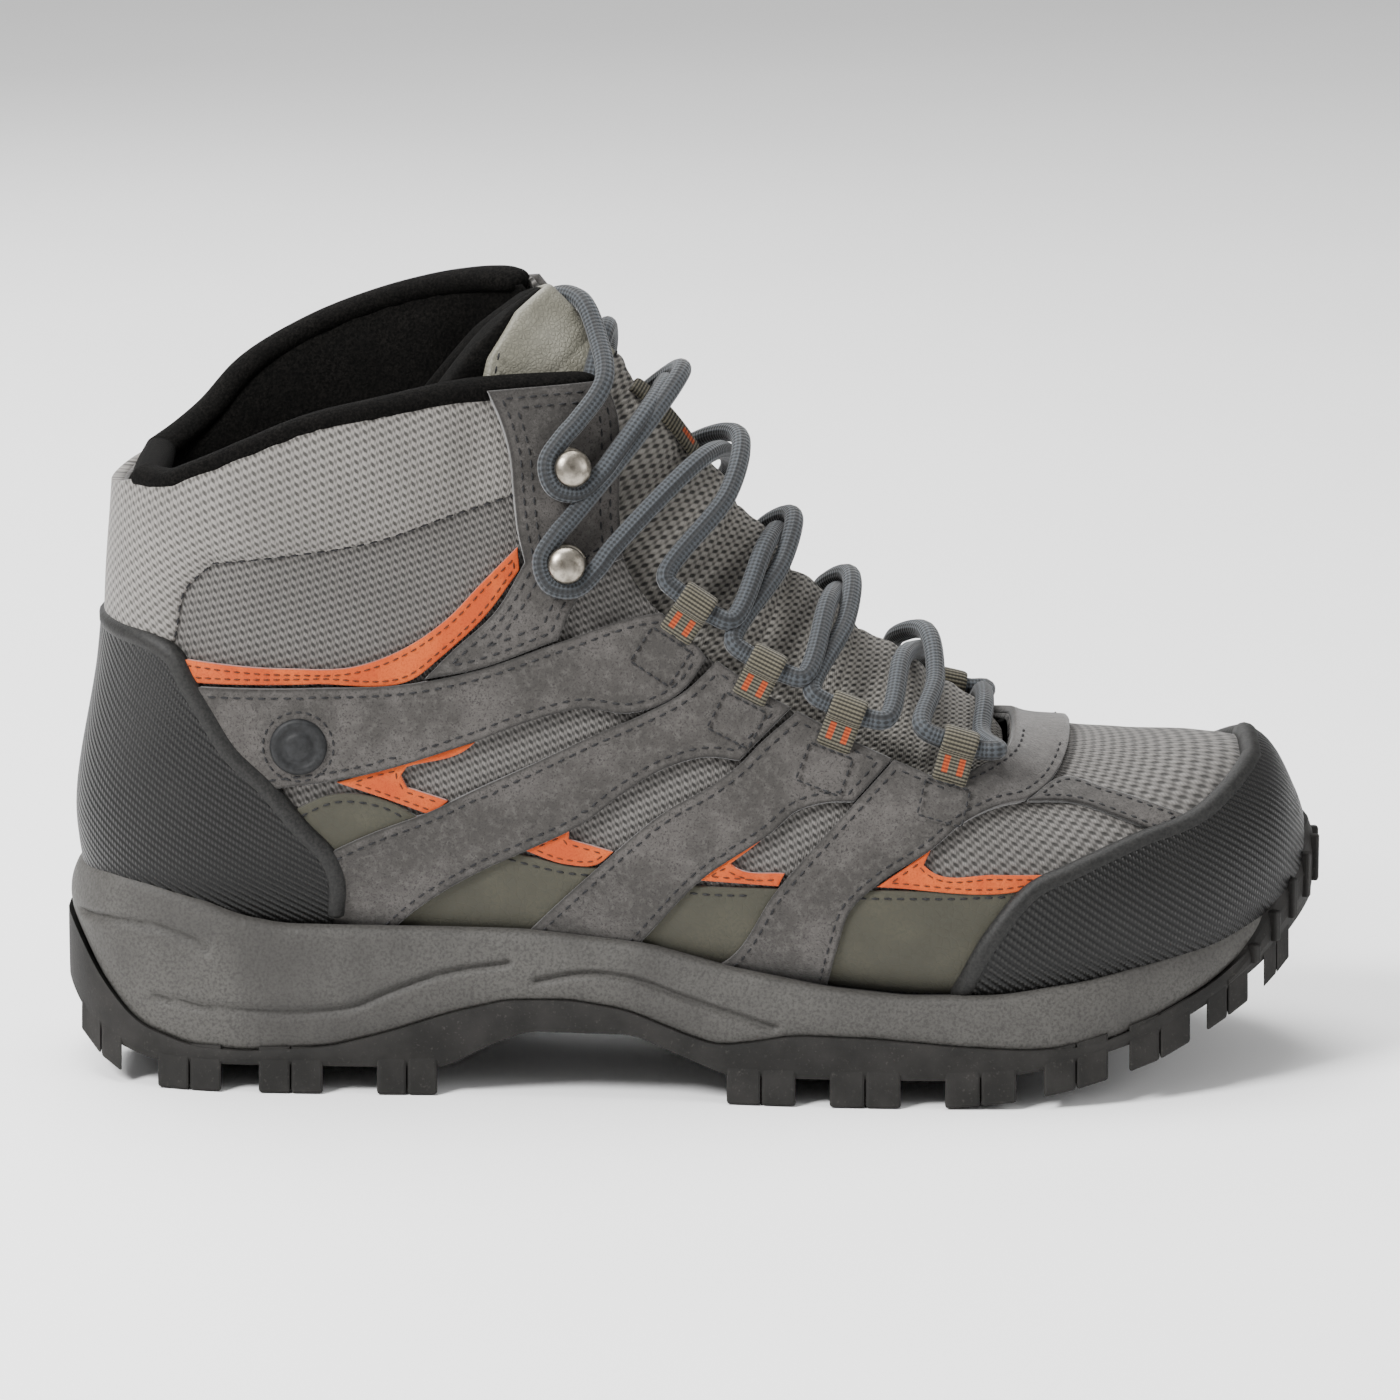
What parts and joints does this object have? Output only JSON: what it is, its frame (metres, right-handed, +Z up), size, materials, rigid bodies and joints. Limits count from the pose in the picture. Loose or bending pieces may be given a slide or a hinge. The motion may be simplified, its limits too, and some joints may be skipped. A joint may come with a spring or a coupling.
{
  "type": "hiking boot",
  "caption": "Mid-height right hiking boot with a lugged sole, cushioned midsole, mesh and suede upper, toe and heel caps, and a laced padded tongue.",
  "frame": {"origin": "on the ground under the middle of the boot's length and width", "axes": "+X points to the toe, +Y to the inner (medial) side of this right boot and +Z up"},
  "size_m": [0.31, 0.1101, 0.1958],
  "materials": {
    "tread_rubber": "matt lugged rubber",
    "badge_rubber": "moulded satin rubber",
    "midsole_foam": "matt foam with a fine leather grain",
    "stiffener_plastic": "plain matt plastic sheet",
    "insole_board": "pressed fibre board",
    "footbed_foam": "moulded foam with a knitted top",
    "olive_nubuck": "fine matt nubuck",
    "orange_trim": "fine grained coated textile",
    "cap_textile": "ridged textile with a glossy coat",
    "grey_suede": "fibrous mottled suede",
    "upper_mesh": "coarse open mesh",
    "padding_foam": "open cell foam",
    "lining_knit": "black knit lining",
    "binding_tape": "folded black tape",
    "loop_webbing": "woven webbing with orange stripes",
    "hook_nickel": "antique nickel",
    "lace_cord": "round braid with darker stripes",
    "aglet_plastic": "clear dark plastic",
    "tongue_mesh": "padded mesh",
    "tongue_leather": "soft grained leather"
  },
  "bodies": {
    "boot": {"aglet_lateral": "aglet_plastic", "aglet_medial": "aglet_plastic", "ankle_suede_lateral": "grey_suede", "ankle_suede_medial": "grey_suede", "badge": "badge_rubber", "chevron_1_lateral": "orange_trim", "chevron_1_medial": "orange_trim", "chevron_2_lateral": "orange_trim", "chevron_2_medial": "orange_trim", "chevron_3_lateral": "orange_trim", "chevron_3_medial": "orange_trim", "chevron_4_lateral": "orange_trim", "chevron_4_medial": "orange_trim", "collar_accent_lateral": "orange_trim", "collar_accent_medial": "orange_trim", "collar_binding": "binding_tape", "collar_foam": "padding_foam", "footbed": "footbed_foam", "heel_cap": "cap_textile", "heel_counter": "stiffener_plastic", "insole_board": "insole_board", "lace": "lace_cord", "lace_hook_1_lateral": "hook_nickel", "lace_hook_1_medial": "hook_nickel", "lace_hook_2_lateral": "hook_nickel", "lace_hook_2_medial": "hook_nickel", "lace_keeper": "loop_webbing", "lace_loop_1_lateral": "loop_webbing", "lace_loop_1_medial": "loop_webbing", "lace_loop_2_lateral": "loop_webbing", "lace_loop_2_medial": "loop_webbing", "lace_loop_3_lateral": "loop_webbing", "lace_loop_3_medial": "loop_webbing", "lace_loop_4_lateral": "loop_webbing", "lace_loop_4_medial": "loop_webbing", "lining_sock": "lining_knit", "midfoot_foam": "padding_foam", "midsole": "midsole_foam", "mudguard_lateral": "olive_nubuck", "mudguard_medial": "olive_nubuck", "outsole": "tread_rubber", "shank": "stiffener_plastic", "strap_1_lateral": "grey_suede", "strap_1_medial": "grey_suede", "strap_2_lateral": "grey_suede", "strap_2_medial": "grey_suede", "strap_3_lateral": "grey_suede", "strap_3_medial": "grey_suede", "toe_cap": "cap_textile", "toe_puff": "stiffener_plastic", "toe_stripe_lateral": "grey_suede", "toe_stripe_medial": "grey_suede", "tongue_body": "tongue_mesh", "upper_shell": "upper_mesh", "vamp_suede": "grey_suede"},
    "tongue_top": {"tongue_flap": "tongue_leather"}
  },
  "joints": [
    {"name": "tongue_top_bend", "type": "hinge", "parent": "boot", "child": "tongue_top", "pos_m": [-0.0105, 0, 0.1625], "axis": [0, 1, 0], "range_deg": [-15, 0], "stiffness_Nm_per_rad": 0.05}
  ]
}
